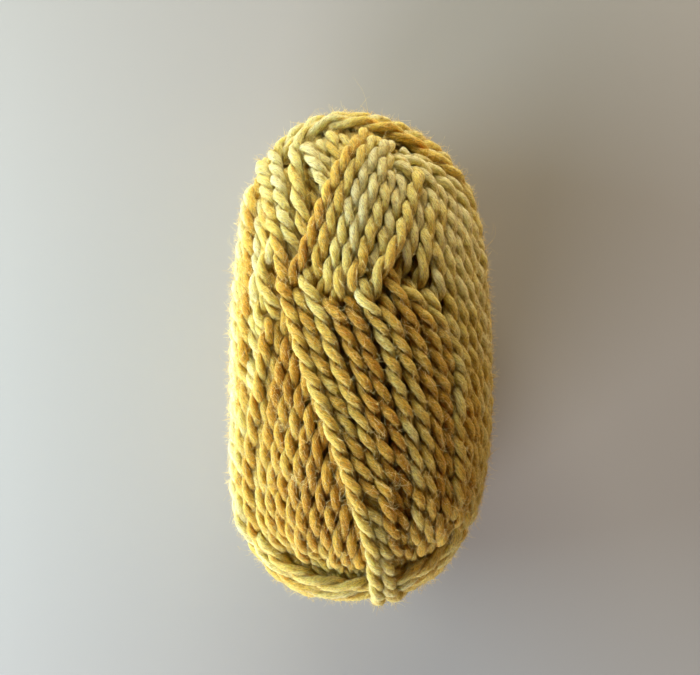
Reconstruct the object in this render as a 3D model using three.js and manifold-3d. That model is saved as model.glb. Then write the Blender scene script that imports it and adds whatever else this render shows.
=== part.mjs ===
// A wound ball of chunky two-ply wool yarn, an oval standing on its flattened underside.
// Millimetres, +Z up, +Y towards the narrow end, +X to the right seen from above.
// The origin is the middle of the flat spot that the ball rests on.
//
// Places on the ball are given as [around, along]: degrees around its length from the top,
// positive to the right, and millimetres along its length from the middle.

import * as THREE from "three";
import { mergeVertices } from "three/addons/utils/BufferGeometryUtils.js";
import Module from "manifold-3d";

// The wound form, measured to the crests of its outer strands
const HALF_WIDTH = 39.3;
const HALF_HEIGHT = 36;
const HALF_LENGTH = 71.5;
const NARROW_END_FULLNESS = 2.4;
const BROAD_END_FULLNESS = 3.05;
const END_LEAN = 2.6;
const FLAT_SPOT_DEPTH = 3;

// The yarn
const YARN_DIAMETER = 4.4;
const TWIST_PITCH = 10.8;
const PLY_WAIST = 0.7;
const YARN_COLOUR = 0xd3b45a;
const YARN_ROUGHNESS = 0.95;

// How the strands are drawn
const CORE_DEPTH = 4.6;
const ROOT_DEPTH = 9;
const GROOVE_DEPTH = 1.9;
const GROOVE_PER_PITCH = 0.45;
const UNEVEN_LIFT = 0.3;
const UNEVEN_STRAND = 2.4;
const UNEVEN_ROW = 1.1;
const LAST_TURN_SIDES = 6;
const LAST_TURN_STEP = 2.7;
const CORE_SEGMENTS = 24;
const CUTTER_SIZE = 300;
const MERGE_DISTANCE = 1e-3;

// A strand's section: how far each line is across the strand, and its share of the groove depth.
const ROUND_STRAND = [
  { across: 0, drop: 1 },
  { across: 0.26, drop: 0.1 },
  { across: 0.74, drop: 0.1 },
];
const SIMPLE_STRAND = [
  { across: 0, drop: 1 },
  { across: 0.5, drop: 0 },
];

// Bands of strands that lie side by side, in the order they were wound. Each section gives the
// place of the left strand and of the right strand and how far the band is lifted there.
// A negative lift is where a band dives under its neighbours.
const BANDS = [
  {
    name: "underside, first layer",
    strands: 25,
    profile: SIMPLE_STRAND,
    sections: [
      { left: [97, 58], right: [251, 59], lift: -5.5 },
      { left: [98, 48], right: [254, 49], lift: -1.2 },
      { left: [99, 26], right: [258, 26], lift: -1.2 },
      { left: [100, 3], right: [260, 3], lift: -1.2 },
      { left: [102, -20], right: [261, -20], lift: -1.2 },
      { left: [105, -44], right: [263, -44], lift: -1.2 },
      { left: [107, -57], right: [264, -57], lift: -5.5 },
    ],
  },
  {
    name: "underside, crossing layer",
    strands: 9,
    profile: SIMPLE_STRAND,
    sections: [
      { left: [170, 60], right: [244, 56], lift: -5 },
      { left: [166, 49], right: [234, 45], lift: 0.6 },
      { left: [156, 26], right: [218, 22], lift: 0.8 },
      { left: [145, 3], right: [206, -1], lift: 0.8 },
      { left: [134, -20], right: [196, -23], lift: 0.8 },
      { left: [120, -44], right: [187, -47], lift: 0.6 },
      { left: [110, -56], right: [180, -58], lift: -5 },
    ],
  },
  {
    name: "left side",
    strands: 10,
    profile: SIMPLE_STRAND,
    sections: [
      { left: [-108, 58], right: [-76, 61], lift: -5 },
      { left: [-104, 47], right: [-62, 50], lift: 0 },
      { left: [-101, 30], right: [-51, 36], lift: 0 },
      { left: [-100, 14], right: [-43, 18], lift: 0 },
      { left: [-100, -3], right: [-42, 3], lift: 0 },
      { left: [-101, -21], right: [-48, -14], lift: 0 },
      { left: [-102, -39], right: [-57, -33], lift: 0 },
      { left: [-103, -51], right: [-64, -49], lift: -0.2 },
      { left: [-104, -60], right: [-69, -59], lift: -4.8 },
    ],
  },
  {
    name: "right side",
    strands: 9,
    profile: SIMPLE_STRAND,
    sections: [
      { left: [31, 62], right: [98, 59], lift: -5 },
      { left: [35, 56], right: [101, 50], lift: -0.6 },
      { left: [42, 45], right: [102, 37], lift: 0 },
      { left: [47, 27], right: [103, 20], lift: 0 },
      { left: [48.5, 8], right: [104, 4], lift: 0 },
      { left: [50, -11], right: [104, -12], lift: 0 },
      { left: [52, -29], right: [103, -30], lift: 0 },
      { left: [52, -46], right: [102, -49], lift: -0.3 },
      { left: [52, -56], right: [99, -59], lift: -4.8 },
    ],
  },
  {
    name: "short strands that show at the top",
    strands: 6,
    sections: [
      { left: [-40, 68], right: [6, 69], lift: -3.5 },
      { left: [-34, 61], right: [6, 63], lift: -1.2 },
      { left: [-25, 53], right: [11, 56], lift: -1.2 },
      { left: [-17, 46], right: [14, 48], lift: -4 },
    ],
  },
  {
    name: "rising strands of the lower left",
    strands: 11,
    sections: [
      { left: [-33, 17], right: [9, -44], lift: -4.5 },
      { left: [-38, 10], right: [7, -46.5], lift: -0.8 },
      { left: [-43, -5], right: [5.5, -49.5], lift: 0 },
      { left: [-49, -20], right: [4, -52], lift: 0 },
      { left: [-55.5, -35], right: [2.5, -54.5], lift: 0 },
      { left: [-61, -49], right: [1, -57.5], lift: -0.6 },
      { left: [-65, -58], right: [-1, -62], lift: -5 },
    ],
  },
  {
    name: "falling strands of the upper left",
    strands: 4,
    sections: [
      { left: [-95, 57], right: [-60, 70], lift: -1 },
      { left: [-66, 59], right: [-38, 64.5], lift: 0.6 },
      { left: [-54, 52], right: [-29, 57], lift: 0.6 },
      { left: [-44, 46], right: [-21.5, 51], lift: 0.4 },
      { left: [-35, 38.5], right: [-15, 46], lift: -0.5 },
      { left: [-28, 31], right: [-8, 40], lift: -4.5 },
    ],
  },
  {
    name: "fan of rising strands at the upper right",
    strands: 8,
    sections: [
      { left: [15, 62], right: [36, 61], lift: -4.5 },
      { left: [18, 57], right: [38, 55], lift: -1 },
      { left: [10.5, 50], right: [41, 47], lift: 0 },
      { left: [3.5, 42], right: [42, 38], lift: 0 },
      { left: [-3, 34], right: [41, 30], lift: 0 },
      { left: [-7, 27], right: [37, 22], lift: 0 },
      { left: [-9, 20], right: [33, 14], lift: -0.8 },
      { left: [-12, 12], right: [30, 7], lift: -4.5 },
    ],
  },
  {
    name: "falling strands of the lower right",
    strands: 9,
    sections: [
      { left: [-33, 23], right: [28, 18], lift: -4.5 },
      { left: [-28, 17], right: [31.5, 13], lift: -0.8 },
      { left: [-22.5, 9], right: [37, 6], lift: 0.3 },
      { left: [-15.5, -4], right: [43, -6], lift: 0.3 },
      { left: [-7, -17], right: [47, -20], lift: 0.3 },
      { left: [1, -31], right: [48, -33], lift: 0.3 },
      { left: [9.5, -44], right: [46.5, -44], lift: 0.2 },
      { left: [17, -54], right: [45, -51.5], lift: -1 },
      { left: [23, -61], right: [46, -57], lift: -5 },
    ],
  },
  {
    name: "rising strands beside the last turn",
    strands: 3,
    sections: [
      { left: [9, 66], right: [30, 64], lift: -2 },
      { left: [3, 62], right: [24.5, 60.5], lift: 0.5 },
      { left: [-6, 55], right: [9, 54], lift: 0.6 },
      { left: [-14, 46], right: [0.5, 46.5], lift: 0.5 },
      { left: [-19.5, 37], right: [-5.5, 37.5], lift: 0.4 },
      { left: [-24.5, 29], right: [-10.5, 28], lift: 0.4 },
      { left: [-29, 21.5], right: [-14, 20], lift: -0.4 },
      { left: [-34, 13], right: [-17, 12], lift: -4.5 },
    ],
  },
];

// Strands that cross an end from side to side. At the middle they are tilted up towards the
// ball's top by frontTilt to backTilt degrees, and they run down to its sides, where they end
// reach degrees from the tip, drawn together and sunk between the side strands.
const END_WRAPS = [
  { end: 1, strands: 7, frontTilt: 27, backTilt: -26, reach: 64 },
  { end: -1, strands: 8, frontTilt: 34, backTilt: -31, reach: 64 },
];
const END_WRAP_ROWS = 10;
const END_WRAP_SIDE_SPREAD = 0.35;
const END_WRAP_LIFT = 0.3;
const END_WRAP_SIDE_DROP = 7;

// The last turn lies over everything else, and its tail is tucked in behind the broad end.
const LAST_TURN = [
  { at: [-100, 60], lift: -3 },
  { at: [-76, 56], lift: 0.1 },
  { at: [-57, 48], lift: 1.2 },
  { at: [-46, 39], lift: 1.2 },
  { at: [-36.5, 27.5], lift: 1.3 },
  { at: [-29.5, 12], lift: 1.3 },
  { at: [-23, -1], lift: 1.2 },
  { at: [-15, -14], lift: 1.2 },
  { at: [-7, -28], lift: 1.2 },
  { at: [0, -42], lift: 1.2 },
  { at: [5, -53], lift: 1.1 },
  { at: [7, -61], lift: 1.4 },
  { at: [14, -67.5], lift: 1.3 },
  { at: [75, -70], lift: -0.6 },
  { at: [112, -67], lift: -4 },
];

const wasm = await Module();
wasm.setup();

const radians = THREE.MathUtils.degToRad;

function fullness(along) {
  return along > 0 ? NARROW_END_FULLNESS : BROAD_END_FULLNESS;
}

// The direction of a place, in units of the form's three half sizes.
function directionAt([around, along]) {
  const height = THREE.MathUtils.clamp(along / HALF_LENGTH, -1, 1);
  const power = fullness(height);
  const girth = (1 - Math.abs(height) ** power) ** (1 / power);
  const angle = radians(around);
  return new THREE.Vector3(girth * Math.sin(angle), height, girth * Math.cos(angle));
}

// The form's surface in a direction, with its outward normal.
function surfaceAt(direction) {
  const power = fullness(direction.y);
  const girth = Math.hypot(direction.x, direction.z);
  const height = Math.abs(direction.y);
  const scale = (girth ** power + height ** power) ** (-1 / power);
  const unit = direction.clone().multiplyScalar(scale);
  const sideways = (girth * scale) ** (power - 2);
  const normal = new THREE.Vector3(
    (sideways * unit.x) / HALF_WIDTH,
    (Math.abs(unit.y) ** (power - 1) * Math.sign(unit.y)) / HALF_LENGTH,
    (sideways * unit.z) / HALF_HEIGHT,
  ).normalize();
  const point = new THREE.Vector3(
    unit.x * HALF_WIDTH - END_LEAN * Math.abs(unit.y) ** 3,
    unit.y * HALF_LENGTH,
    unit.z * HALF_HEIGHT,
  );
  return { point, normal };
}

function liftedPoint(direction, lift) {
  const { point, normal } = surfaceAt(direction);
  return point.addScaledVector(normal, lift);
}

// A geometry with only its positions, its shared points merged.
function closedShape(geometry) {
  geometry.deleteAttribute("normal");
  geometry.deleteAttribute("uv");
  return mergeVertices(geometry, MERGE_DISTANCE);
}

function movePoints(geometry, place) {
  const positions = geometry.getAttribute("position");
  const point = new THREE.Vector3();
  for (let i = 0; i < positions.count; i++) {
    point.fromBufferAttribute(positions, i);
    positions.setXYZ(i, ...place(point).toArray());
  }
  return geometry;
}

function toSolid(geometry) {
  return new wasm.Manifold(
    new wasm.Mesh({
      numProp: 3,
      vertProperties: new Float32Array(geometry.getAttribute("position").array),
      triVerts: new Uint32Array(geometry.index.array),
    }),
  );
}

function toGeometry(solid) {
  const mesh = solid.getMesh();
  const geometry = new THREE.BufferGeometry();
  geometry.setAttribute("position", new THREE.BufferAttribute(mesh.vertProperties, 3));
  geometry.setIndex(new THREE.BufferAttribute(mesh.triVerts, 1));
  return mergeVertices(geometry, MERGE_DISTANCE);
}

// A slab whose outer face is ribbed, one rib for each strand. place(strands, down) gives the
// direction and lift of a spot so many strands from the band's left edge and so far down it.
function ribbedSlab(strands, rows, profile, place) {
  const lines = profile.length;
  const slab = closedShape(new THREE.BoxGeometry(1, 1, 1, lines * strands, rows, 1));
  return movePoints(slab, (corner) => {
    const column = Math.round((corner.x + 0.5) * lines * strands);
    const row = Math.round((0.5 - corner.y) * rows);
    const strand = Math.floor(column / lines);
    const { across, drop } = profile[column % lines];
    const { direction, lift } = place(strand + across, row / rows);
    if (corner.z < 0) return liftedPoint(direction, -ROOT_DEPTH);
    const neighbour = place(strand + across + 1, row / rows);
    const pitch = surfaceAt(direction).point.distanceTo(surfaceAt(neighbour.direction).point);
    const groove = Math.min(GROOVE_DEPTH, GROOVE_PER_PITCH * pitch);
    const uneven = UNEVEN_LIFT * Math.sin(UNEVEN_STRAND * strand + UNEVEN_ROW * row);
    return liftedPoint(direction, lift - drop * groove + uneven);
  });
}

function windBand({ strands, profile = ROUND_STRAND, sections }) {
  const sideCurve = (side) =>
    new THREE.SplineCurve(sections.map((section) => new THREE.Vector2(...section[side])));
  const left = sideCurve("left");
  const right = sideCurve("right");
  const spans = sections.length - 1;
  return ribbedSlab(strands, spans, profile, (across, down) => {
    const share = (across - 0.5) / (strands - 1);
    const place = left.getPoint(down).lerp(right.getPoint(down), share);
    const before = Math.min(Math.floor(down * spans), spans - 1);
    const lift = THREE.MathUtils.lerp(
      sections[before].lift,
      sections[before + 1].lift,
      down * spans - before,
    );
    return { direction: directionAt([place.x, place.y]), lift };
  });
}

// Strands side by side over an end, from one side of the ball to the other.
function wrapEnd({ end, strands, frontTilt, backTilt, reach }) {
  return ribbedSlab(strands, END_WRAP_ROWS, ROUND_STRAND, (across, down) => {
    const sweep = THREE.MathUtils.lerp(-reach, reach, down);
    const arch = Math.cos((radians(90) * sweep) / reach);
    const spread = THREE.MathUtils.lerp(END_WRAP_SIDE_SPREAD, 1, arch);
    const share = (across - 0.5) / (strands - 1);
    const tilt = radians(THREE.MathUtils.lerp(frontTilt, backTilt, share) * spread);
    const direction = new THREE.Vector3(
      Math.sin(radians(sweep)) * Math.cos(tilt) * end,
      Math.cos(radians(sweep)) * Math.cos(tilt) * end,
      Math.sin(tilt),
    );
    return { direction, lift: END_WRAP_LIFT - END_WRAP_SIDE_DROP * (1 - arch) ** 3 };
  });
}

// The last turn: two plies twisted together, seen as a two-lobed section that turns as it goes.
function layLastTurn() {
  const path = new THREE.CatmullRomCurve3(
    LAST_TURN.map(({ at, lift }) => liftedPoint(directionAt(at), lift)),
  );
  const length = path.getLength();
  const steps = Math.round(length / LAST_TURN_STEP);
  const tube = closedShape(new THREE.CylinderGeometry(1, 1, 1, LAST_TURN_SIDES, steps));
  return movePoints(tube, (corner) => {
    const travelled = 0.5 - corner.y;
    const centre = path.getPointAt(travelled);
    const tangent = path.getTangentAt(travelled);
    const outward = new THREE.Vector3(
      centre.x / HALF_WIDTH ** 2,
      centre.y / HALF_LENGTH ** 2,
      centre.z / HALF_HEIGHT ** 2,
    );
    const side = new THREE.Vector3().crossVectors(outward, tangent).normalize();
    const up = new THREE.Vector3().crossVectors(tangent, side);
    const spot = Math.atan2(corner.z, corner.x);
    const turned = (2 * Math.PI * travelled * length) / TWIST_PITCH;
    const lobes = (1 + PLY_WAIST) / 2 + ((1 - PLY_WAIST) / 2) * Math.cos(2 * (spot + turned));
    const radius = Math.hypot(corner.x, corner.z) * (YARN_DIAMETER / 2) * lobes;
    return centre
      .addScaledVector(side, radius * Math.cos(spot))
      .addScaledVector(up, radius * Math.sin(spot));
  });
}

function windCore() {
  const core = closedShape(new THREE.SphereGeometry(1, CORE_SEGMENTS, CORE_SEGMENTS / 2));
  return movePoints(core, (direction) => liftedPoint(direction, -CORE_DEPTH));
}

// Takes away what lies below the flat spot and sets the spot at height 0.
function flattenUnderside(ball) {
  const flatHeight = FLAT_SPOT_DEPTH - HALF_HEIGHT;
  const cutter = closedShape(new THREE.BoxGeometry(CUTTER_SIZE, CUTTER_SIZE, CUTTER_SIZE));
  cutter.translate(0, 0, flatHeight - CUTTER_SIZE / 2);
  return ball.subtract(toSolid(cutter)).translate([0, 0, -flatHeight]);
}

// The ball without the sealed hollows between its layers, and without slivers thinner than the
// merge distance.
function outerBody(ball) {
  const bodies = toSolid(toGeometry(ball)).decompose();
  return bodies.reduce((best, body) => (body.volume() > best.volume() ? body : best));
}

function yarnBall() {
  const layers = [...BANDS.map(windBand), ...END_WRAPS.map(wrapEnd), layLastTurn()];
  const core = toSolid(windCore());
  const ball = layers.reduce((whole, layer) => whole.add(toSolid(layer)), core);
  const geometry = toGeometry(outerBody(flattenUnderside(ball)));
  geometry.computeVertexNormals();
  const mesh = new THREE.Mesh(
    geometry,
    new THREE.MeshStandardMaterial({
      color: YARN_COLOUR,
      roughness: YARN_ROUGHNESS,
      metalness: 0,
    }),
  );
  mesh.name = "yarn_ball";
  return mesh;
}

const woolYarn = new THREE.Group();
woolYarn.add(yarnBall());

export default woolYarn;
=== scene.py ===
import math

import bpy
import numpy as np
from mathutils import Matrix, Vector


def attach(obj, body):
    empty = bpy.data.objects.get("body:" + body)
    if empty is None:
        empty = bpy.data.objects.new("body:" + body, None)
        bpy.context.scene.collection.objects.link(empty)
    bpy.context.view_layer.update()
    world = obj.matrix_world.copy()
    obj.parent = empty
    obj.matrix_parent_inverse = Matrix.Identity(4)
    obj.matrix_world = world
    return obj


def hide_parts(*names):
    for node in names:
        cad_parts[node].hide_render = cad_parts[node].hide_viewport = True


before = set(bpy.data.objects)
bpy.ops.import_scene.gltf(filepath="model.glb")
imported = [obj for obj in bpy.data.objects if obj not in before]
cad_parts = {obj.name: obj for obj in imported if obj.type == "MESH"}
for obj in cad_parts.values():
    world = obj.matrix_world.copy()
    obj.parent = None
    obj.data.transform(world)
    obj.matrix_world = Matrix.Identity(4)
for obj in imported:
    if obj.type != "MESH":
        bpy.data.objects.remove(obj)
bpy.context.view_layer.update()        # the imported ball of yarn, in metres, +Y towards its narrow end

mm = 0.001
dice = np.random.default_rng(24)

# The wound form, measured to the crests of its outer strands
ball = {
    "halfWidth": 39.3 * mm,
    "halfHeight": 36.0 * mm,
    "halfLength": 71.5 * mm,
    "narrowEndFullness": 2.4,
    "broadEndFullness": 3.05,
    "endLean": 2.6 * mm,        # to the left, at both ends
    "flatSpotDepth": 3.0 * mm,
}
ball["middleHeight"] = ball["halfHeight"] - ball["flatSpotDepth"]


# The camera looks straight down on the ball
camera = {
    "height": 300 * mm,         # above the middle of the ball
    "seenWidth": 210 * mm,      # at that middle
    "shift": (-11 / 700, 18.5 / 700),       # of the picture's width
    "sensor": 36,
    "nearest": 10 * mm,
}


def makeCamera():
    data = bpy.data.cameras.new("camera")
    data.sensor_width = camera["sensor"]
    data.lens = camera["sensor"] * camera["height"] / camera["seenWidth"]
    data.shift_x, data.shift_y = camera["shift"]
    data.clip_start = camera["nearest"]
    made = bpy.data.objects.new("camera", data)
    made.location = (0, 0, ball["middleHeight"] + camera["height"])
    bpy.context.collection.objects.link(made)
    bpy.context.scene.camera = made


makeCamera()
print("camera placed")


# Places on the ball: degrees around its length from the top, positive to the right,
# and millimetres along its length from the middle

def directionAt(around, along):
    height = np.clip(np.asarray(along) * mm / ball["halfLength"], -1, 1)
    power = np.where(height > 0, ball["narrowEndFullness"], ball["broadEndFullness"])
    girth = (1 - np.abs(height) ** power) ** (1 / power)
    angle = np.radians(around)
    return np.stack([girth * np.sin(angle), height, girth * np.cos(angle)], axis=-1)


def surfaceAt(direction):
    power = np.where(direction[:, 1] > 0, ball["narrowEndFullness"], ball["broadEndFullness"])
    girth = np.hypot(direction[:, 0], direction[:, 2])
    height = np.abs(direction[:, 1])
    scale = (girth ** power + height ** power) ** (-1 / power)
    unit = direction * scale[:, None]
    sideways = (girth * scale) ** (power - 2)
    endways = (height * scale) ** (power - 1) * np.sign(unit[:, 1])
    normal = np.stack([
        sideways * unit[:, 0] / ball["halfWidth"],
        endways / ball["halfLength"],
        sideways * unit[:, 2] / ball["halfHeight"],
    ], axis=-1)
    point = np.stack([
        unit[:, 0] * ball["halfWidth"] - ball["endLean"] * np.abs(unit[:, 1]) ** 3,
        unit[:, 1] * ball["halfLength"],
        unit[:, 2] * ball["halfHeight"] + ball["middleHeight"],
    ], axis=-1)
    return point, normal / np.linalg.norm(normal, axis=1)[:, None]


def unitPlace(points):
    unit = points - np.array([0, 0, ball["middleHeight"]])
    return unit / np.array([ball["halfWidth"], ball["halfLength"], ball["halfHeight"]])


def outwardAt(points):
    # The way out of the ball at any points near its surface
    return surfaceAt(unitPlace(points))[1]


def reachOf(points):
    # 1 on the surface of the ball, less inside it
    unit = unitPlace(points)
    power = np.where(unit[:, 1] > 0, ball["narrowEndFullness"], ball["broadEndFullness"])
    return (np.hypot(unit[:, 0], unit[:, 2]) ** power + np.abs(unit[:, 1]) ** power) ** (1 / power)


# The yarn and how it is drawn. Uneven and rough values are shares, but those of the dye are steps
# on the scale of dyes, where 0 is pale and 1 is deep gold.
yarn = {
    "diameter": 4.4 * mm,
    "plyOffset": 1.0 * mm,
    "plyHalfWidth": 1.34 * mm,
    "plyHalfDepth": 1.17 * mm,
    "twistPitch": (11.4, 14.0),     # mm, from strand to strand
    "unevenTwist": 0.1,
    "twistWaves": (15, 60),         # mm, the shortest and longest
    "unevenPly": 0.12,
    "plyWaves": (3, 14),
    "roughPly": 0.05,
    "unevenDye": 0.1,
    "dyeWaves": (12, 60),
    "plyDye": 0.08,
    "fibrePitch": 60 * mm,
    "fibreRound": 1.4,              # mm, the ply's radius as its fibres are painted
    "fibreStart": 900,              # mm, so that no two plies are painted alike
    "curveSteps": 8,                # to each settled point of a strand
    "step": 0.75 * mm,
    "coarseStep": 1.35 * mm,        # on the underside
    "sides": 8,
}

# Bands of strands that lie side by side, in the order they were wound: the place of the left
# strand, the place of the right strand and the lift in mm. A negative lift dives under the
# neighbours. Each strand's dye runs evenly through its numbers, and under 0 it is as pale as at 0.
# Starts and ends say how far along the ball, in mm, each strand comes up and goes under again.
bands = [
    {
        "name": "undersideStrands",
        "strands": 25,
        "dye": [(0.45, 0.55), (0.6, 0.4), (0.35, 0.5), (0.7, 0.6), (0.3, 0.2)],
        "sections": [
            ((97, 58), (251, 59), -5.5),
            ((98, 48), (254, 49), -1.2),
            ((99, 26), (258, 26), -1.2),
            ((100, 3), (260, 3), -1.2),
            ((102, -20), (261, -20), -1.2),
            ((105, -44), (263, -44), -1.2),
            ((107, -57), (264, -57), -5.5),
        ],
    },
    {
        "name": "undersideCrossing",
        "strands": 9,
        "dye": [(0.2, 0.45), (0.5, 0.4), (0.7, 0.65), (0.4, 0.3)],
        "sections": [
            ((170, 60), (244, 56), -5),
            ((166, 49), (234, 45), 0.6),
            ((156, 26), (218, 22), 0.8),
            ((145, 3), (206, -1), 0.8),
            ((134, -20), (196, -23), 0.8),
            ((120, -44), (187, -47), 0.6),
            ((110, -56), (180, -58), -5),
        ],
    },
    {
        "name": "leftSide",
        "strands": 10,
        "dye": [
            (0.3, 0.2, 0.1), (0.2, 0.05, 0.1), (0.1, -0.05, 0.0), (0.1, 0.0, -0.1), (0.05, 0.0, -0.1),
            (0.3, 0.5, 0.05, 0.0), (0.3, 0.8, 0.5, 0.1), (0.5, 0.85, 0.4, 0.1),
            (0.3, 0.15, 0.35, 0.3), (0.3, 0.55, 0.6, 0.5),
        ],
        "sections": [
            ((-108, 58), (-76, 61), -5),
            ((-104, 47), (-62, 50), 0),
            ((-101, 30), (-51, 36), 0),
            ((-100, 14), (-43, 18), 0),
            ((-100, -3), (-42, 3), 0),
            ((-101, -21), (-48, -14), 0),
            ((-102, -39), (-57, -33), 0),
            ((-103, -51), (-64, -49), -0.2),
            ((-104, -60), (-69, -59), -4.8),
        ],
    },
    {
        "name": "rightSide",
        "strands": 10,
        "dye": [
            (-0.1, 0.05, 0.35, 0.65), (-0.15, 0.0, 0.4, 0.6), (-0.15, 0.0, 0.4, 0.65),
            (-0.15, 0.0, 0.25, 0.4), (-0.15, -0.05, 0.3, 0.4), (-0.1, 0.05, 0.3), (0.0, 0.1, 0.3),
            (0.3, 0.4), (0.5, 0.4), (0.5, 0.5),
        ],
        "sections": [
            ((38, 60), (98, 60), -5),
            ((50, 53.5), (101, 52), -0.6),
            ((56, 46), (102, 42), -0.4),
            ((50, 37), (102.5, 32), -0.4),
            ((43, 27), (103, 20), -0.4),
            ((42, 8), (104, 4), -0.2),
            ((44.5, -11), (104, -12), 0),
            ((46.5, -29), (103, -30), 0),
            ((47, -46), (102, -49), -0.3),
            ((47, -56), (99, -59), -4.8),
        ],
    },
    {
        "name": "shortTopStrands",
        "strands": 6,
        "dye": [(0.2, 0.15), (0.1, 0.2), (0.45, 0.5), (0.4, 0.45), (0.5, 0.6), (0.45, 0.5)],
        "sections": [
            ((-40, 68), (6, 69), -3.5),
            ((-34, 61), (6, 63), -1.2),
            ((-25, 53), (11, 56), -1.2),
            ((-17, 46), (14, 48), -4),
        ],
    },
    {
        "name": "lowerLeftStrands",
        "strands": 11,
        "dye": [
            (0.7, 0.6, 0.4, 0.1), (1.0, 0.95, 0.6, 0.3), (0.8, 0.8, 0.65, 0.4),
            (0.8, 0.8, 0.7, 0.45), (0.85, 0.9, 0.75, 0.5), (0.9, 0.9, 0.85, 0.5),
            (0.9, 0.9, 0.95, 0.55), (0.85, 0.85, 0.8, 0.2), (0.85, 0.85, 0.8, 0.3),
            (0.85, 0.85, 0.8, 0.55), (0.85, 0.8, 0.55),
        ],
        "sections": [
            ((-33, 17), (9, -44), -4.5),
            ((-38, 10), (7, -46.5), -0.8),
            ((-43, -5), (5.5, -49.5), 0),
            ((-49, -20), (4, -52), 0),
            ((-55.5, -35), (2.5, -54.5), 0),
            ((-61, -49), (1, -57.5), -0.6),
            ((-65, -58), (-1, -62), -5),
        ],
    },
    {
        "name": "fanStrands",
        "strands": 3,
        "ends": (16, 19, 27),
        "dye": [
            (-0.1, -0.1, 0.0, 0.2, 0.4, 0.5), (0.0, 0.0, 0.3, 0.6, 0.55, 0.5),
            (0.0, 0.0, 0.15, 0.4, 0.45),
        ],
        "sections": [
            ((23, 61), (26, 58), -5),
            ((17, 54.5), (24, 52.5), -0.7),
            ((7, 46), (22.5, 47.5), 0),
            ((3, 41), (18.5, 42.5), 0),
            ((-0.5, 36.5), (14, 37), 0),
            ((-3.5, 31.5), (10.5, 31.5), 0),
            ((-6, 25.5), (7, 26), 0),
            ((-9, 20), (5, 20), 0),
            ((-11, 14), (3, 13), -1),
            ((-12, 8), (1, 6), -4.5),
        ],
    },
    {
        "name": "fanStrands",
        "strands": 3,
        "ends": (27, 23, 16),
        "dye": [
            (-0.1, 0.05, 0.15, 0.25, 0.4), (-0.1, -0.05, 0.05, 0.3, 0.4, 0.4), (-0.1, 0.0, 0.1, 0.2, 0.4),
        ],
        "sections": [
            ((27, 60), (38, 59.5), -4.5),
            ((32, 54), (45, 53), -0.6),
            ((35, 47), (50, 47), 0),
            ((31, 42), (44.5, 41.5), 0),
            ((26, 35.5), (40, 36), 0),
            ((22.5, 31), (37.5, 31), 0),
            ((20, 25), (36, 24), 0),
            ((17, 18), (34, 17), 0),
            ((14, 10), (32, 9), -1),
            ((11, 3), (30, 2), -4.5),
        ],
    },
    {
        "name": "lowerRightStrands",
        "strands": 9,
        "dye": [
            (0.6, 0.65, 0.7, 0.7, 0.65), (0.15, 0.35, 0.45, 0.55, 0.65, 0.6),
            (0.8, 0.8, 0.85, 0.95, 0.85, 0.7), (0.85, 0.95, 0.95, 0.85, 1.0, 0.9),
            (0.1, 0.3, 0.5, 0.45, 0.55, 0.6), (0.5, 0.6, 0.55, 0.45, 0.6, 0.7),
            (0.55, 0.75, 0.7, 0.75, 0.85, 0.8), (0.25, 0.35, 0.7, 0.65, 0.7, 0.75),
            (0.2, 0.3, 0.5, 0.6, 0.7),
        ],
        "starts": (20, 22, 13.5, 13, 21.5, 13, 24, 17, 16),
        "sections": [
            ((-39, 36), (18, 33), -5),
            ((-34, 27), (24, 24.5), -1),
            ((-28.5, 18), (31, 15.5), 0.3),
            ((-22.5, 9), (37, 6), 0.3),
            ((-15.5, -4), (43, -6), 0.3),
            ((-7, -17), (47, -20), 0.3),
            ((1, -31), (48, -33), 0.3),
            ((9.5, -44), (46.5, -44), 0.2),
            ((17, -54), (45, -51.5), -1),
            ((23, -61), (46, -57), -5),
        ],
    },
    {
        "name": "upperMiddleStrands",
        "strands": 3,
        "ends": (21, 18, 19),
        "dye": [
            (0.3, 0.5, 0.6, 0.75, 0.9, 0.9), (0.3, 0.45, 0.55, 0.75, 0.9),
            (-0.2, -0.2, 0.05, 0.45, 0.6),
        ],
        "sections": [
            ((11, 68), (32, 65), -5),
            ((4, 62.5), (24, 60.5), -0.6),
            ((-6, 54.5), (9, 54), 0.6),
            ((-14, 46), (0, 47), 0.5),
            ((-19.5, 37), (-5.5, 37.5), 0.4),
            ((-24.5, 29), (-10.5, 28), 0.4),
            ((-29, 21.5), (-14, 20), 0.2),
            ((-34, 13), (-17, 12), -1),
            ((-38, 6), (-20, 5), -4.5),
        ],
    },
]

# Strands that cross an end from side to side. The tilts of the foremost and the hindmost one and
# their reach to each side are in degrees.
endWraps = [
    {
        "name": "narrowEndWrap",
        "end": 1,
        "strands": 8,
        "frontTilt": 21,
        "backTilt": -46,
        "reach": 64,
        "dye": [(0.1, 0.2, 0.2, 0.15, 0.1), (0.3, 0.15), (0.2, 0.3), (0.4, 0.3), (0.3, 0.2)],
    },
    {
        "name": "broadEndWrap",
        "end": -1,
        "strands": 10,
        "frontTilt": 34,
        "backTilt": -51,
        "reach": 64,
        "dye": [(0.25, 0.3, 0.35, 0.3, 0.2), (0.3, 0.35, 0.25), (0.5, 0.4), (0.3, 0.3)],
    },
]
wrapping = {
    "sideSpread": 0.35,         # how much of the tilt is left at the sides of the ball
    "lift": 0.3,                # mm
    "innerDrop": 2.9,           # mm
    "sideDrop": 7,              # mm, where the wraps go in under the other strands
    "pitchShare": 1.5,          # how slack their twist is, to the yarn's
}

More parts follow.
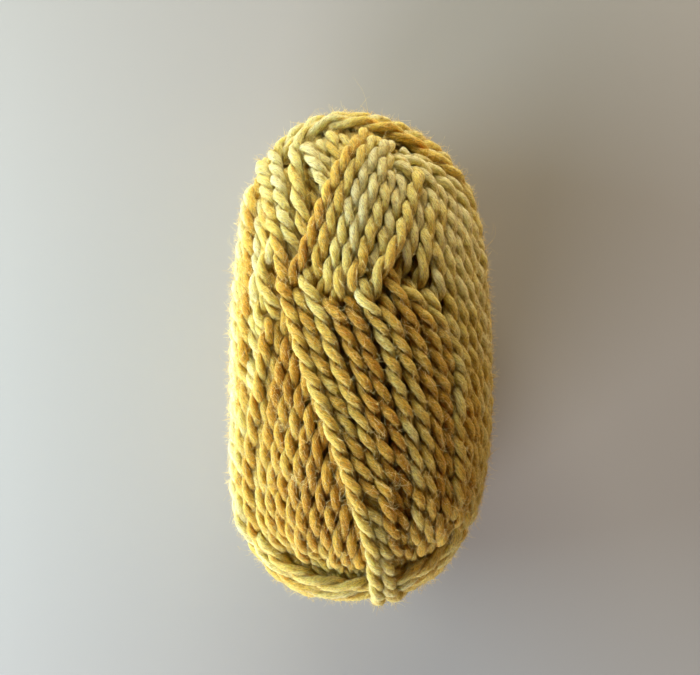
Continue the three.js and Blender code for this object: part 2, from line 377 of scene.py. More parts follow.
# Strands laid one by one: their places and their lift in mm. The last turn lies over everything
# else, from the back over the left shoulder, down the front and over the broad end.
singleStrands = [
    {
        "name": "rimTurn",
        "stiffness": 0.16,
        "pitchShare": 1.25,
        "dye": (0.5, 0.35, 0.2, 0.15, 0.25, 0.45, 0.4, 0.3, 0.1, 0.0, 0.05, 0.2, 0.35, 0.4),
        "sections": [
            ((74, 20), -4), ((80, 34), -0.5), ((79, 47), 0.4), ((68, 53), 0.6), ((56, 57), 0.8),
            ((47, 61), 0.9), ((34, 65), 0.9), ((14, 67), 0.9), ((-9, 67.5), 1), ((-30, 67), 1),
            ((-42, 64), 1.1), ((-42, 59), 1), ((-38, 54), 1), ((-33.6, 48.5), 0.9),
            ((-29.6, 42), 0.6), ((-26.5, 36), -0.5), ((-24, 30), -4.5),
        ],
    },
    {
        "name": "shoulderStrand",
        "stiffness": 0.14,
        "dye": (0.4, 0.3, 0.2, 0.2, 0.15, 0.15, 0.1, 0.0, 0.0, 0.1, 0.15, 0.3),
        "sections": [
            ((90, 30), -4.5), ((89, 43), -0.5), ((84, 53), 0.4), ((76, 59), 0.5), ((62, 64), 0.5),
            ((40, 68), 0.5), ((8, 70), 0.6), ((-32, 69.8), 0.7), ((-58, 67), 0.9), ((-68, 63), 1),
            ((-65.5, 59.2), 1), ((-56, 54.5), 1), ((-48.2, 50), 0.9), ((-41.8, 44), 0.8),
            ((-36.7, 37.5), 0.7), ((-32, 31.5), -0.2), ((-29, 25), -4.5),
        ],
    },
    {
        "name": "paleStrand",
        "stiffness": 0.14,
        "dye": (0.0, 0.0, 0.05, 0.1),
        "sections": [
            ((-44, 64), -4), ((-36.7, 60.6), -0.3), ((-29.6, 57.3), 0.2), ((-22.2, 52.7), 0.3),
            ((-17.4, 48.4), 0), ((-13, 43), -4.5),
        ],
    },
    {
        "name": "overCrossing",
        "stiffness": 0.14,
        "dye": (0.3, 0.4, 0.35, 0.5, 0.35, 0.3, 0.4),
        "sections": [
            ((36, 56), -3), ((33.5, 50.5), 0.3), ((29.5, 45.5), 0.6), ((24.5, 40.5), 0.7),
            ((19, 34), 0.9), ((14, 28.5), 1.1), ((8.7, 23.5), 1.2), ((5, 19), 0.9), ((2.5, 13), -1),
            ((0, 6), -4.5),
        ],
    },
    {
        "name": "leftCrossing",
        "stiffness": 0.14,
        "dye": (0.3, 0.25, 0.3, 0.5),
        "sections": [
            ((-41, 39), -4), ((-43.8, 32.5), 0), ((-44.9, 27), 0.4), ((-46, 22), 0.5),
            ((-43, 16.7), 0.4), ((-40, 12.5), 0), ((-36, 7), -4.5),
        ],
    },
    {
        "name": "leftCrossing",
        "stiffness": 0.14,
        "dye": (0.3, 0.3, 0.2, 0.3),
        "sections": [
            ((-47, 27), -4), ((-47.5, 20), 0), ((-47.5, 14.6), 0.3), ((-46, 10), 0.3),
            ((-42.5, 5.5), 0), ((-37, 0), -4.5),
        ],
    },
    {
        "name": "leftCrossing",
        "stiffness": 0.14,
        "dye": (0.2, 0.35, 0.2, 0.3),
        "sections": [
            ((-53, 20), -4), ((-52.5, 14), 0), ((-52, 8), 0.3), ((-49, 2.5), 0.3),
            ((-44.5, -2), 0), ((-39, -7), -4.5),
        ],
    },
    {
        "name": "leftCrossing",
        "stiffness": 0.14,
        "dye": (0.2, 0.3, 0.15, 0.3),
        "sections": [
            ((-57, 12), -4), ((-57, 6), 0), ((-55.5, 0), 0.3), ((-52.5, -5), 0.3),
            ((-48, -10), 0), ((-43, -16), -4.5),
        ],
    },
    {
        "name": "lastTurn",
        "stiffness": 0.2,
        "pitchShare": 0.92,
        "dye": (0.3, 0.25, 0.15, 0.1, 0.2, 0.45, 0.65, 0.6, 0.5, 0.5, 0.45, 0.3, 0.3, 0.4, 0.2, 0.2),
        "sections": [
            ((-172, 36), -4.5), ((-150, 52), -0.5), ((-118, 59), 0.5), ((-88, 57), 0.9),
            ((-68, 53), 1.2), ((-54, 47), 1.2), ((-45, 38.5), 1.2), ((-36.5, 27.5), 1.3),
            ((-29.5, 12), 1.3), ((-23, -1), 1.2), ((-15, -14), 1.2), ((-7, -28), 1.2),
            ((1, -42), 1.3), ((7.5, -52.5), 1.4), ((9.5, -59), 1.6), ((14, -64.5), 1.8),
            ((24, -69), 1.6), ((52, -71.2), 0.8), ((120, -70.5), 0), ((155, -65), -2), ((165, -57), -5),
        ],
    },
    {
        "name": "besideLastTurn",
        "stiffness": 0.16,
        "pitchShare": 0.95,
        "dye": (0.4, 0.4, 0.3, 0.3, 0.25, 0.35, 0.4),
        "sections": [
            ((0, -31), -4.5), ((5.5, -40), -0.3), ((12, -50), 0.5), ((15.5, -57), 1), ((20, -63), 1.4),
            ((31, -67.8), 1.3), ((66, -70.2), 0.6), ((115, -68.5), -1), ((150, -61), -5),
        ],
    },
]

# Turns further in, which close the gaps between the outer strands
innerTurns = {
    "turns": 25,
    "lean": 13,                 # degrees off the ball's length
    "lift": -3.8,
    "dye": (0.5, 0.6),
    "clearOfFloor": 8.5 * mm,
    "step": 2.8 * mm,
    "sides": 5,
}

# How many places each route is worked out at
samples = {"band": 200, "wrap": 160, "single": 400, "innerTurn": 200}


def splineThrough(rows, count):
    rows = np.asarray(rows, float)
    before = 2 * rows[0] - rows[1]
    after = 2 * rows[-1] - rows[-2]
    rows = np.vstack([before, rows, after])
    place = np.linspace(0, len(rows) - 3, count)
    first = np.minimum(place.astype(int), len(rows) - 4)
    t = (place - first)[:, None]
    a, b, c, d = (rows[first + i] for i in range(4))
    curved = (2 * a - 5 * b + 4 * c - d) * t ** 2 + (3 * b - a - 3 * c + d) * t ** 3
    return b + 0.5 * ((c - a) * t + curved)


def evenly(points, spacing):
    steps = np.linalg.norm(np.diff(points, axis=0), axis=1)
    travelled = np.concatenate([[0], np.cumsum(steps)])
    stops = np.linspace(0, travelled[-1], max(3, round(travelled[-1] / spacing) + 1))
    return np.stack([np.interp(stops, travelled, points[:, i]) for i in range(3)], axis=-1)


wavesAdded = 4
waveSum = 2.4               # near the most that they add up to


def wander(travelled, shortest, longest):
    # Slow, smooth unevenness along a length, from a few sine waves
    waves = dice.uniform(shortest, longest, wavesAdded) * mm
    starts = dice.uniform(0, 2 * math.pi, wavesAdded)
    return np.sin(2 * math.pi * travelled[:, None] / waves + starts).sum(axis=1) / waveSum


settleSpacing = 2 * mm
uneven = {
    "aside": 0.45,              # mm or degrees, to either side
    "asideWaves": (25, 90),     # mm
    "lift": 0.18,               # mm, along a strand
    "liftWaves": (18, 60),      # mm
    "strandLift": 0.22,         # mm, from strand to strand
}


def newStrand(name, direction, lift, dye, stiffness=0.1):
    surface, normal = surfaceAt(direction)
    centres = surface + normal * (np.reshape(lift, (-1, 1)) * mm - yarn["diameter"] / 2)
    points = evenly(centres, settleSpacing)
    return {"name": name, "points": points, "dye": dye, "stiffness": stiffness, "pitchShare": 1}


# Where a strand comes up through its neighbours or goes down under them
buried = {
    "depth": 4.6,               # mm
    "run": 6,                   # mm along the ball
}


def smoothly(share):
    share = np.clip(share, 0, 1)
    return share ** 2 * (3 - 2 * share)


def bandStrands(band):
    rows = np.array([(*left, *right, lift) for left, right, lift in band["sections"]])
    edges = splineThrough(rows[:, :4], samples["band"])
    stops = np.linspace(0, 1, samples["band"])
    for k in range(band["strands"]):
        share = k / (band["strands"] - 1)
        place = edges[:, 0:2] * (1 - share) + edges[:, 2:4] * share
        aside = uneven["aside"] * wander(place[:, 1] * mm, *uneven["asideWaves"])
        place = place + np.stack([aside, aside], axis=-1)
        lift = np.interp(stops, np.linspace(0, 1, len(rows)), rows[:, 4])
        if "starts" in band:
            lift = lift - buried["depth"] * smoothly((place[:, 1] - band["starts"][k]) / buried["run"])
        if "ends" in band:
            lift = lift - buried["depth"] * smoothly((band["ends"][k] - place[:, 1]) / buried["run"])
        lift = lift + dice.normal(0, uneven["strandLift"])
        lift = lift + uneven["lift"] * wander(place[:, 1] * mm, *uneven["liftWaves"])
        dye = band["dye"][k % len(band["dye"])]
        yield newStrand(band["name"], directionAt(place[:, 0], place[:, 1]), lift, dye)


def wrapStrands(wrap, inner=False):
    # The inner ones lie under the gaps between the others
    sweep = np.linspace(-wrap["reach"], wrap["reach"], samples["wrap"])
    arch = np.cos(np.radians(90) * sweep / wrap["reach"])
    spread = wrapping["sideSpread"] + (1 - wrapping["sideSpread"]) * arch
    for k in range(wrap["strands"] - inner):
        share = (k + 0.5 * inner) / (wrap["strands"] - 1)
        tilt = np.radians((wrap["frontTilt"] * (1 - share) + wrap["backTilt"] * share) * spread)
        direction = np.stack([
            np.sin(np.radians(sweep)) * np.cos(tilt),
            np.cos(np.radians(sweep)) * np.cos(tilt) * wrap["end"],
            np.sin(tilt),
        ], axis=-1)
        lift = wrapping["lift"] - wrapping["innerDrop"] * inner - wrapping["sideDrop"] * (1 - arch) ** 3
        strand = newStrand(wrap["name"], direction, lift, wrap["dye"][k % len(wrap["dye"])])
        strand["pitchShare"] = wrapping["pitchShare"]
        yield strand


def singleStrand(single):
    rows = np.array([(*place, lift) for place, lift in single["sections"]])
    rows = np.column_stack([directionAt(rows[:, 0], rows[:, 1]), rows[:, 2]])
    route = splineThrough(rows, samples["single"])
    strand = newStrand(single["name"], route[:, :3], route[:, 3], single["dye"], single["stiffness"])
    strand["pitchShare"] = single.get("pitchShare", 1)
    return strand


def innerStrand(turn):
    facing = math.pi * turn / innerTurns["turns"]
    lean = math.radians(innerTurns["lean"])
    axle = [math.cos(facing) * math.cos(lean), math.sin(lean), math.sin(facing) * math.cos(lean)]
    axle = np.array(axle)
    up = np.array([0, 1, 0]) - axle * axle[1]
    up = up / np.linalg.norm(up)
    side = np.cross(axle, up)
    t = np.linspace(0, 2 * math.pi, samples["innerTurn"])[:, None]
    loop = np.cos(t) * up + np.sin(t) * side
    strand = newStrand("innerTurns", loop, innerTurns["lift"], innerTurns["dye"])
    strand["points"][:, 2] = np.maximum(strand["points"][:, 2], innerTurns["clearOfFloor"])
    return strand


# Settling: strands push each other apart until they only touch, as wound yarn does
settling = {
    "rounds": 60,
    "touch": 0.82,              # of the diameter, because wool gives
    "smooth": 0.2,              # share of a bend taken out in one round
    "search": 1.4,              # diameters
    "searchEvery": 10,
    "searchRows": 500,
    "bendFree": 5,              # points along one strand that can't push each other
    "push": 0.35,               # share of an overlap undone in one round
    "longestMove": 0.8 * mm,
    "floorTouch": 0.46,         # of the diameter
}


def closePairs(points, owner, place, reach):
    first, second = [], []
    squares = (points ** 2).sum(axis=1)
    for start in range(0, len(points), settling["searchRows"]):
        rows = slice(start, start + settling["searchRows"])
        gaps = squares[rows, None] + squares[None, :] - 2 * points[rows] @ points.T
        i, j = np.nonzero(gaps < reach ** 2)
        i = i + start
        apart = (owner[i] != owner[j]) | (np.abs(place[i] - place[j]) > settling["bendFree"])
        keep = apart & (i < j)
        first.append(i[keep])
        second.append(j[keep])
    return np.concatenate(first), np.concatenate(second)


def settle(strands):
    points = np.concatenate([s["points"] for s in strands])
    owner = np.repeat(np.arange(len(strands)), [len(s["points"]) for s in strands])
    place = np.concatenate([np.arange(len(s["points"])) for s in strands])
    stiffness = np.repeat([s["stiffness"] for s in strands], [len(s["points"]) for s in strands])
    anchors = points.copy()
    ids = np.arange(len(points))
    previous = np.where(place == 0, ids, ids - 1)
    last = np.append(np.diff(owner) > 0, True)
    following = np.where(last, ids, ids + 1)
    inner = (place > 0) & ~last
    touch = settling["touch"] * yarn["diameter"]
    for turn in range(settling["rounds"]):
        if turn % settling["searchEvery"] == 0:
            i, j = closePairs(points, owner, place, settling["search"] * yarn["diameter"])
        between = points[j] - points[i]
        distance = np.maximum(np.linalg.norm(between, axis=1), 1e-6)
        push = np.maximum(touch - distance, 0) / distance * settling["push"]
        shift = between * push[:, None]
        moves = np.zeros_like(points)
        for axis in range(3):
            moves[:, axis] += np.bincount(j, shift[:, axis], len(points))
            moves[:, axis] -= np.bincount(i, shift[:, axis], len(points))
        points = points + np.clip(moves, -settling["longestMove"], settling["longestMove"])
        points += (anchors - points) * stiffness[:, None]
        middle = (points[previous] + points[following]) / 2
        points[inner] += (middle - points)[inner] * settling["smooth"]
        points[:, 2] = np.maximum(points[:, 2], settling["floorTouch"] * yarn["diameter"])
    for k, strand in enumerate(strands):
        strand["points"] = points[owner == k]


outerStrands = [strand for band in bands for strand in bandStrands(band)]
outerStrands += [strand for wrap in endWraps for strand in wrapStrands(wrap)]
outerStrands += [singleStrand(single) for single in singleStrands]
settle(outerStrands)
innerStrands = [innerStrand(turn) for turn in range(innerTurns["turns"])]
innerStrands += [strand for wrap in endWraps for strand in wrapStrands(wrap, inner=True)]
print("strands laid:", len(outerStrands), "outer and", len(innerStrands), "inner")


def twistedPlies(strand, step, sides):
    # Two plies that turn round each other, each a closed tube, as point and face arrays
    rows = splineThrough(strand["points"], yarn["curveSteps"] * len(strand["points"]))
    centre = evenly(rows, step)
    count = len(centre)
    travelled = np.arange(count) * np.linalg.norm(centre[1] - centre[0])
    tangent = np.gradient(centre, axis=0)
    tangent /= np.linalg.norm(tangent, axis=1)[:, None]
    side = np.cross(outwardAt(centre), tangent)
    side /= np.linalg.norm(side, axis=1)[:, None]
    up = np.cross(tangent, side)
    pitch = dice.uniform(*yarn["twistPitch"]) * strand["pitchShare"] * mm
    speed = 1 + yarn["unevenTwist"] * wander(travelled, *yarn["twistWaves"])
    turned = dice.uniform(0, 2 * math.pi) - np.cumsum(2 * math.pi * step / pitch * speed)
    dye = np.interp(np.linspace(0, 1, count), np.linspace(0, 1, len(strand["dye"])), strand["dye"])
    dye = dye + yarn["unevenDye"] * wander(travelled, *yarn["dyeWaves"])
    tubes = []
    for ply in (0, math.pi):
        away = np.cos(turned + ply)[:, None] * side + np.sin(turned + ply)[:, None] * up
        middle = centre + away * yarn["plyOffset"]
        forward = np.gradient(middle, axis=0)
        forward /= np.linalg.norm(forward, axis=1)[:, None]
        across = np.cross(forward, away)
        across /= np.linalg.norm(across, axis=1)[:, None]
        outer = np.cross(across, forward)
        swell = 1 + yarn["unevenPly"] * wander(travelled, *yarn["plyWaves"])
        spot = np.linspace(0, 2 * math.pi, sides, endpoint=False)
        rough = 1 + yarn["roughPly"] * dice.standard_normal((count, sides))
        wide = yarn["plyHalfWidth"] * swell[:, None] * rough * np.sin(spot)
        deep = yarn["plyHalfDepth"] * swell[:, None] * rough * np.cos(spot)
        rings = middle[:, None, :] + wide[:, :, None] * across[:, None, :]
        rings = rings + deep[:, :, None] * outer[:, None, :]
        rings[:, :, 2] = np.maximum(rings[:, :, 2], 0)
        fibreTurn = spot[None, :] - 2 * math.pi * travelled[:, None] / yarn["fibrePitch"]
        fibreRun = travelled[:, None] / mm + dice.uniform(0, yarn["fibreStart"])
        fibre = np.stack([
            np.cos(fibreTurn) * yarn["fibreRound"],
            np.sin(fibreTurn) * yarn["fibreRound"],
            np.broadcast_to(fibreRun, fibreTurn.shape),
        ], axis=-1)
        tone = np.broadcast_to(dye[:, None] + yarn["plyDye"] * dice.standard_normal(), fibreTurn.shape)
        # How far round the ring faces the other ply, from 0 outside to 1 in the groove between them; the
        # wool's colour gets painted shade from it
        groove = np.broadcast_to(0.5 - 0.5 * np.cos(spot), fibreTurn.shape)
        tubes.append((rings, fibre, tone, groove))
    return tubes


def meshOfTubes(name, tubes):
    # One mesh of many closed tubes, with the fibre, the dye and the groove mask for painted shade of each
    # point
    points, quads, ends, fibres, tones, grooves = [], [], [], [], [], []
    start = 0
    for rings, fibre, tone, groove in tubes:
        count, sides = rings.shape[:2]
        row = np.arange(sides)
        here = start + np.arange(count - 1)[:, None] * sides
        quad = np.stack([here + row, here + (row + 1) % sides,
                         here + sides + (row + 1) % sides, here + sides + row], axis=-1)
        quads.append(quad.reshape(-1, 4))
        ends.append(start + row[::-1])
        ends.append(start + (count - 1) * sides + row)
        points.append(rings.reshape(-1, 3))
        fibres.append(fibre.reshape(-1, 3))
        tones.append(tone.reshape(-1))
        grooves.append(groove.reshape(-1))
        start += count * sides
    points = np.concatenate(points)
    quads = np.concatenate(quads)
    corners = np.concatenate([quads.reshape(-1), *ends])
    sizes = np.concatenate([np.full(len(quads), 4), [len(end) for end in ends]])
    starts = np.concatenate([[0], np.cumsum(sizes)[:-1]])
    mesh = bpy.data.meshes.new(name)
    mesh.vertices.add(len(points))
    mesh.vertices.foreach_set("co", points.reshape(-1))
    mesh.loops.add(len(corners))
    mesh.loops.foreach_set("vertex_index", corners)
    mesh.polygons.add(len(sizes))
    mesh.polygons.foreach_set("loop_start", starts)
    mesh.polygons.foreach_set("use_smooth", np.ones(len(sizes), bool))
    mesh.update(calc_edges=True)
    fibreLayer = mesh.attributes.new("fibre", "FLOAT_VECTOR", "POINT")
    fibreLayer.data.foreach_set("vector", np.concatenate(fibres).reshape(-1))
    for layerName, values in (("dye", tones), ("groove", grooves)):
        layer = mesh.attributes.new(layerName, "FLOAT", "POINT")
        layer.data.foreach_set("value", np.concatenate(values))
    mesh.validate()
    return mesh


# Shader maths: a wire is a node's output, and sums of wires add Math nodes

class Wire:
    def __init__(self, paint, socket):
        self.paint = paint
        self.socket = socket

    def maths(self, operation, first, second):
        return self.paint.node("ShaderNodeMath", {"operation": operation}, {0: first, 1: second})

    def __add__(self, other):
        return self.maths("ADD", self, other)

    def __radd__(self, other):
        return self.maths("ADD", other, self)

    def __sub__(self, other):
        return self.maths("SUBTRACT", self, other)

    def __rsub__(self, other):
        return self.maths("SUBTRACT", other, self)

    def __mul__(self, other):
        return self.maths("MULTIPLY", self, other)

    def __rmul__(self, other):
        return self.maths("MULTIPLY", other, self)


class Paint:
    def __init__(self, name):
        self.material = bpy.data.materials.new(name)
        self.material.use_nodes = True
        self.tree = self.material.node_tree
        self.shader = self.tree.nodes["Principled BSDF"]

    def node(self, kind, settings, sockets, output=0):
        made = self.tree.nodes.new(kind)
        for name, value in settings.items():
            if name == "stops":
                self.setStops(made.color_ramp, value)
            else:
                setattr(made, name, value)
        self.fill(made, sockets)
        return Wire(self, made.outputs[output])

    def mix(self, share, first, second, blend="MIX"):
        settings = {"data_type": "RGBA", "blend_type": blend}
        return self.node("ShaderNodeMix", settings, {0: share, 6: first, 7: second}, 2)

    def setStops(self, ramp, stops):
        while len(ramp.elements) < len(stops):
            ramp.elements.new(0.5)
        for element, (position, colour) in zip(ramp.elements, stops):
            element.position = position
            element.color = (*colour, 1)

    def fill(self, node, sockets):
        for name, value in sockets.items():
            if isinstance(value, Wire):
                self.tree.links.new(value.socket, node.inputs[name])
            else:
                node.inputs[name].default_value = value


# The dyed wool
wool = {
    "dyes": [
        (0.0, (0.98, 0.87, 0.43)),
        (0.25, (0.93, 0.73, 0.24)),
        (0.5, (0.82, 0.56, 0.12)),
        (0.75, (0.70, 0.41, 0.05)),
        (1.0, (0.53, 0.27, 0.02)),
    ],
    "paleFibre": (0.95, 0.82, 0.48, 1),
    # Painted shade: in the grooves between the plies the wool's colour is multiplied by this
    "grooveShadeColour": (0.96, 0.88, 0.72, 1),
    "roughness": 0.92,
    "softness": 0.85,           # share of the light that passes through the wool
    "lightReach": 2.8 * mm,
    "lightSpread": (1.0, 0.95, 0.8),
    "shine": 0.15,
    "sheen": 0.3,
    "sheenRoughness": 0.4,
    "sheenTint": (1.0, 0.9, 0.62, 1),
    "drawnOut": (1, 1, 0.3),    # fibres are long along the ply
    "fine": {"Scale": 3.2, "Detail": 3.0, "Roughness": 0.65},
    "coarse": {"Scale": 1.0, "Detail": 2.0},
    "stray": {"Scale": 7.0, "Detail": 1.0},
    "strayShare": {"From Min": 0.58, "From Max": 0.72, "To Max": 0.4},
    "loose": {"Scale": 2.2, "Detail": 4.0, "Roughness": 0.7},
    # Where along the groove mask the painted shade sets in and where it is full
    "grooveShadeRange": {"From Min": 0.3, "From Max": 0.75},
    "streaks": 2.5,             # how much lighter and darker single fibres are
    "lint": 1.2,                # the same without direction, as loose wool
    "mottle": 0.32,             # how far the dye differs from fibre to fibre
    "fibreBump": 0.9 * mm,
    "lintBump": 1.2,            # height of the loose wool, to that of the fibres
}


def woolNoise(paint, place, settings):
    return paint.node("ShaderNodeTexNoise", {}, {"Vector": place, **settings})


def woolPaint():
    paint = Paint("dyedWool")
    fibre = paint.node("ShaderNodeAttribute", {"attribute_name": "fibre"}, {}, "Vector")
    dye = paint.node("ShaderNodeAttribute", {"attribute_name": "dye"}, {}, "Fac")
    groove = paint.node("ShaderNodeAttribute", {"attribute_name": "groove"}, {}, "Fac")
    drawn = paint.node("ShaderNodeVectorMath", {"operation": "MULTIPLY"}, {0: fibre, 1: wool["drawnOut"]})
    lint = woolNoise(paint, fibre, wool["loose"])
    fine = woolNoise(paint, drawn, wool["fine"])
    coarse = woolNoise(paint, drawn, wool["coarse"])
    stray = woolNoise(paint, drawn, wool["stray"])
    tone = dye + (coarse - 0.5) * (2 * wool["mottle"]) + (fine - 0.5) * wool["mottle"]
    dyed = paint.node("ShaderNodeValToRGB", {"stops": wool["dyes"]}, {"Fac": tone})
    pale = paint.node("ShaderNodeMapRange", {}, {"Value": stray, **wool["strayShare"]})
    mixed = paint.mix(pale, dyed, wool["paleFibre"])
    light = 1 + (fine - 0.5) * wool["streaks"] + (lint - 0.5) * wool["lint"]
    lit = paint.node("ShaderNodeVectorMath", {"operation": "SCALE"}, {0: mixed, "Scale": light})
    # Painted shade: the colour darkens towards the groove between the two plies, where they shade each
    # other
    deep = paint.node("ShaderNodeMapRange", {}, {"Value": groove, **wool["grooveShadeRange"]})
    shadedColour = paint.mix(deep, lit, wool["grooveShadeColour"], "MULTIPLY")
    height = fine + lint * wool["lintBump"]
    bump = paint.node("ShaderNodeBump", {}, {"Height": height, "Distance": wool["fibreBump"]})
    paint.fill(paint.shader, {
        "Base Color": shadedColour,
        "Normal": bump,
        "Roughness": wool["roughness"],
        "Subsurface Weight": wool["softness"],
        "Subsurface Radius": wool["lightSpread"],
        "Subsurface Scale": wool["lightReach"],
        "Sheen Weight": wool["sheen"],
        "Sheen Roughness": wool["sheenRoughness"],
        "Sheen Tint": wool["sheenTint"],
        "Specular IOR Level": wool["shine"],
    })
    return paint.material


woolMaterial = woolPaint()


def addPiece(name, mesh, material):
    piece = bpy.data.objects.new(name, mesh)
    bpy.context.collection.objects.link(piece)
    mesh.materials.append(material)
    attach(piece, "root")
    return piece


def plyTubes(strands, step, sides):
    return [tube for strand in strands for tube in twistedPlies(strand, step, sides)]


# Hairs: many lie along the plies, some stand off, a few long ones curl away. Lengths, radii and
# spotSize are in mm. Rise is the angle off the wool and turn the usual angle off the ply, both in
# radians, curl is how strongly they bend, and tone is a place on the scale of dyes.
hairs = {
    "lyingFibres": {
        "count": 9500,
        "bends": 3,
        "length": (1.5, 4.5),
        "rise": (0.0, 0.25),
        "radius": 0.055,
        "curl": 0.3,
        "turn": 0.45,
        "tone": (-0.3, 0.6),
    },
    "standingFibres": {
        "count": 9500,
        "bends": 2,
        "length": (0.9, 3.0),
        "rise": (0.4, 1.3),
        "radius": 0.042,
        "curl": 0.6,
        "turn": 0.9,
        "tone": (-0.1, 0.35),
    },
    "shortFuzz": {
        "count": 11000,
        "bends": 2,
        "length": (0.6, 2.0),
        "rise": (0.3, 1.4),
        "radius": 0.055,
        "curl": 0.6,
        "turn": 1.5,
        "tone": (0.0, 0.45),
    },
    "looseFibres": {
        "count": 220,
        "bends": 9,
        "length": (5.0, 12.0),
        "rise": (0.3, 1.1),
        "radius": 0.035,
        "curl": 0.7,
        "turn": 0.8,
        "tone": (0.0, 0.25),
    },
    "tangles": {
        "count": 150,
        "bends": 9,
        "length": (4.0, 9.0),
        "rise": (0.2, 0.9),
        "radius": 0.045,
        "curl": 1.6,
        "turn": 1.5,
        "tone": (-0.2, 0.1),
        "spots": [
            (-25, -33), (36.5, 7), (14, -34), (33, 28), (12.5, 33), (-8, 12), (42, 0), (-32.5, -20),
        ],
        "spotSize": 2.5,
    },
}

# What all hairs share
hairForm = {
    "rootedIn": 0.955,          # of the ball's size, the depth down to which hairs grow
    "foot": (-0.1, 0.15),       # mm above the wool
    "sides": 3,
    "shake": 0.12,              # how unsteadily they run
    "nudge": 0.01,              # gives a side to a hair that stands straight out
    "tip": 0.4,                 # of the radius at the foot
    "aboveFloor": 0.02 * mm,
    "roughness": 0.7,
    "sheen": 0.2,
    "shine": 0.2,
}


def hairTubes(kind, roots, ways, outs):
    # Each hair is a bent, tapered tube
    count = kind["count"]
    bends = kind["bends"]
    chosen = dice.integers(0, len(roots), count)
    if "spots" in kind:
        around, along = np.array(kind["spots"]).T
        middles = surfaceAt(directionAt(around, along))[0]
        away = np.linalg.norm(roots[:, None, :] - middles[None, :, :], axis=2).min(axis=1)
        near = np.nonzero(away < kind["spotSize"] * mm)[0]
        chosen = dice.choice(near, count)
    out = outs[chosen]
    spin = dice.normal(0, kind["turn"], count)[:, None]
    way = ways[chosen] * np.sign(dice.uniform(-1, 1, count))[:, None]
    flat = way * np.cos(spin) + np.cross(out, way) * np.sin(spin)
    rise = dice.uniform(*kind["rise"], count)[:, None]
    heading = flat * np.cos(rise) + out * np.sin(rise)
    step = dice.uniform(*kind["length"], count)[:, None] * mm / bends
    bend = dice.normal(0, kind["curl"], (count, 3))
    spots = [roots[chosen] + out * dice.uniform(*hairForm["foot"], (count, 1)) * mm]
    for _ in range(bends):
        shake = dice.normal(0, hairForm["shake"], (count, 3))
        heading = heading + np.cross(bend, heading) / 2 + shake
        heading /= np.linalg.norm(heading, axis=1)[:, None]
        spots.append(spots[-1] + heading * step)
    spots = np.stack(spots, axis=1)
    across = np.cross(heading, out + hairForm["nudge"])
    across /= np.linalg.norm(across, axis=1)[:, None]
    over = np.cross(heading, across)
    taper = np.linspace(1, hairForm["tip"], bends + 1)[None, :, None, None] * kind["radius"] * mm
    corner = np.arange(hairForm["sides"]) * 2 * math.pi / hairForm["sides"]
    ring = np.cos(corner)[:, None] * across[:, None, :] + np.sin(corner)[:, None] * over[:, None, :]
    rings = spots[:, :, None, :] + taper * ring[:, None, :, :]
    rings[..., 2] = np.maximum(rings[..., 2], hairForm["aboveFloor"])
    return rings


def hairMesh(name, kind, roots, ways, outs):
    mesh = bpy.data.meshes.new(name)
    rings = hairTubes(kind, roots, ways, outs)
    hairCount, stages, sides = rings.shape[:3]
    base = (np.arange(hairCount) * stages * sides)[:, None, None]
    ringStart = (np.arange(stages - 1) * sides)[None, :, None]
    side = np.arange(sides)[None, None, :]
    turned = (side + 1) % sides
    quads = np.stack([
        base + ringStart + side,
        base + ringStart + turned,
        base + ringStart + sides + turned,
        base + ringStart + sides + side,
    ], axis=-1).reshape(-1, 4)
    tips = base[:, 0] + (stages - 1) * sides + np.arange(sides)
    feet = base[:, 0] + np.arange(sides)[::-1]
    corners = np.concatenate([quads.reshape(-1), tips.reshape(-1), feet.reshape(-1)])
    sizes = np.concatenate([np.full(len(quads), 4), np.full(len(tips) + len(feet), sides)])
    mesh.vertices.add(hairCount * stages * sides)
    mesh.vertices.foreach_set("co", rings.reshape(-1))
    mesh.loops.add(len(corners))
    mesh.loops.foreach_set("vertex_index", corners)
    mesh.polygons.add(len(sizes))
    mesh.polygons.foreach_set("loop_start", np.concatenate([[0], np.cumsum(sizes)[:-1]]))
    mesh.polygons.foreach_set("use_smooth", np.ones(len(sizes), bool))
    mesh.update(calc_edges=True)
    tones = np.repeat(dice.uniform(*kind["tone"], hairCount), stages * sides)
    mesh.attributes.new("dye", "FLOAT", "POINT").data.foreach_set("value", tones)
    mesh.validate()
    return mesh


def hairRootsOn(rings):
    # Hairs grow from the outer sides of a ply: their roots, its direction and the way out
    middle = rings.mean(axis=1)
    forward = np.gradient(middle, axis=0)
    forward /= np.linalg.norm(forward, axis=1)[:, None]
    outward = outwardAt(middle)
    facing = np.einsum("ijk,ik->ij", rings - middle[:, None, :], outward)
    top = facing.argmax(axis=1) + dice.integers(-1, 2, len(rings))
    root = rings[np.arange(len(rings)), top % yarn["sides"]]
    outward = outward + (root - middle) / np.linalg.norm(root - middle, axis=1)[:, None]
    outward /= np.linalg.norm(outward, axis=1)[:, None]
    bare = reachOf(root) > hairForm["rootedIn"]
    return root[bare], forward[bare], outward[bare]


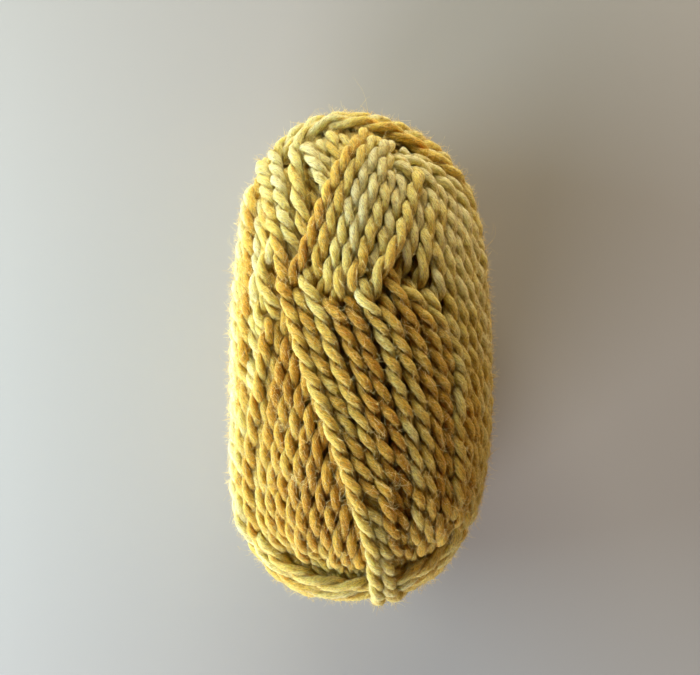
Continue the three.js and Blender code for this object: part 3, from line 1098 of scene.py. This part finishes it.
# The pieces, each with the names of its strands
groups = {
    "underside": ["undersideStrands", "undersideCrossing"],
    "leftSide": ["leftSide", "lowerLeftStrands"],
    "rightSide": ["rightSide"],
    "upperFace": ["shortTopStrands", "fanStrands", "upperMiddleStrands"],
    "lowerFace": ["lowerRightStrands"],
    "ends": ["narrowEndWrap", "broadEndWrap"],
    "singleTurns": [
        "rimTurn", "shoulderStrand", "paleStrand", "overCrossing", "leftCrossing",
        "lastTurn", "besideLastTurn",
    ],
}
rooted = []
for name, members in groups.items():
    chosen = [strand for strand in outerStrands if strand["name"] in members]
    step = yarn["coarseStep"] if name == "underside" else yarn["step"]
    tubes = plyTubes(chosen, step, yarn["sides"])
    rooted += [hairRootsOn(rings) for rings, *_ in tubes]
    piece = addPiece(name, meshOfTubes(name, tubes), woolMaterial)
    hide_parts("yarn_ball")
    print(name, len(chosen), "strands", len(piece.data.polygons), "faces")

innerTubes = plyTubes(innerStrands, innerTurns["step"], innerTurns["sides"])
innerMesh = meshOfTubes("innerTurns", innerTubes)
addPiece("innerTurns", innerMesh, woolMaterial)
print("inner turns", len(innerMesh.polygons), "faces")


def hairPaint():
    paint = Paint("hairs")
    dye = paint.node("ShaderNodeAttribute", {"attribute_name": "dye"}, {}, "Fac")
    dyed = paint.node("ShaderNodeValToRGB", {"stops": wool["dyes"]}, {"Fac": dye})
    paint.fill(paint.shader, {
        "Base Color": dyed,
        "Roughness": hairForm["roughness"],
        "Sheen Weight": hairForm["sheen"],
        "Specular IOR Level": hairForm["shine"],
    })
    return paint.material


hairMaterial = hairPaint()
hairRoots, hairWays, hairOuts = [np.concatenate(part) for part in zip(*rooted)]
for name, kind in hairs.items():
    mesh = hairMesh(name, kind, hairRoots, hairWays, hairOuts)
    addPiece(name, mesh, hairMaterial)
    print(name, len(mesh.polygons), "faces")


# The floor, and soft lights that stand low round the ball
stage = {
    "floorSize": 4.0,
    "floorColour": (0.433, 0.443, 0.47),
    "floorRoughness": 0.8,
    "skyStrength": 0.02,
    "skyColour": (1.0, 0.95, 0.9),
    "lights": {
        "window": {"place": (-0.38, 0, 0.115), "size": 0.3, "power": 2.65, "colour": (0.86, 1, 0.98)},
        "farWindow": {"place": (-0.39, -0.68, 0.2), "size": 0.5, "power": 9.4, "colour": (1, 0.93, 0.9)},
        "warmWall": {"place": (-0.12, 0.78, 0.135), "size": 0.5, "power": 11.8, "colour": (1, 0.89, 0.64)},
        "warmCorner": {"place": (0.45, 0.2, 0.09), "size": 0.3, "power": 1.2, "colour": (1, 0.62, 0.28)},
    },
}


def makeFloor():
    paint = Paint("paleFloor")
    paint.fill(paint.shader, {
        "Base Color": (*stage["floorColour"], 1),
        "Roughness": stage["floorRoughness"],
    })
    half = stage["floorSize"] / 2
    corners = [(-half, -half, 0), (half, -half, 0), (half, half, 0), (-half, half, 0)]
    mesh = bpy.data.meshes.new("floor")
    mesh.from_pydata(corners, [], [(0, 1, 2, 3)])
    mesh.materials.append(paint.material)
    floor = bpy.data.objects.new("floor", mesh)
    bpy.context.collection.objects.link(floor)


def makeLights():
    for name, light in stage["lights"].items():
        data = bpy.data.lights.new(name, "AREA")
        data.shape = "SQUARE"
        data.size = light["size"]
        data.energy = light["power"]
        data.color = light["colour"]
        made = bpy.data.objects.new(name, data)
        made.location = light["place"]
        aim = Vector((0, 0, ball["middleHeight"])) - made.location
        made.rotation_euler = aim.to_track_quat("-Z", "Y").to_euler()
        bpy.context.collection.objects.link(made)
    world = bpy.data.worlds.new("room")
    world.use_nodes = True
    sky = world.node_tree.nodes["Background"]
    sky.inputs["Color"].default_value = (*stage["skyColour"], 1)
    sky.inputs["Strength"].default_value = stage["skyStrength"]
    bpy.context.scene.world = world
    bpy.context.scene.view_settings.view_transform = "Standard"


makeFloor()
makeLights()
print("floor and light made")
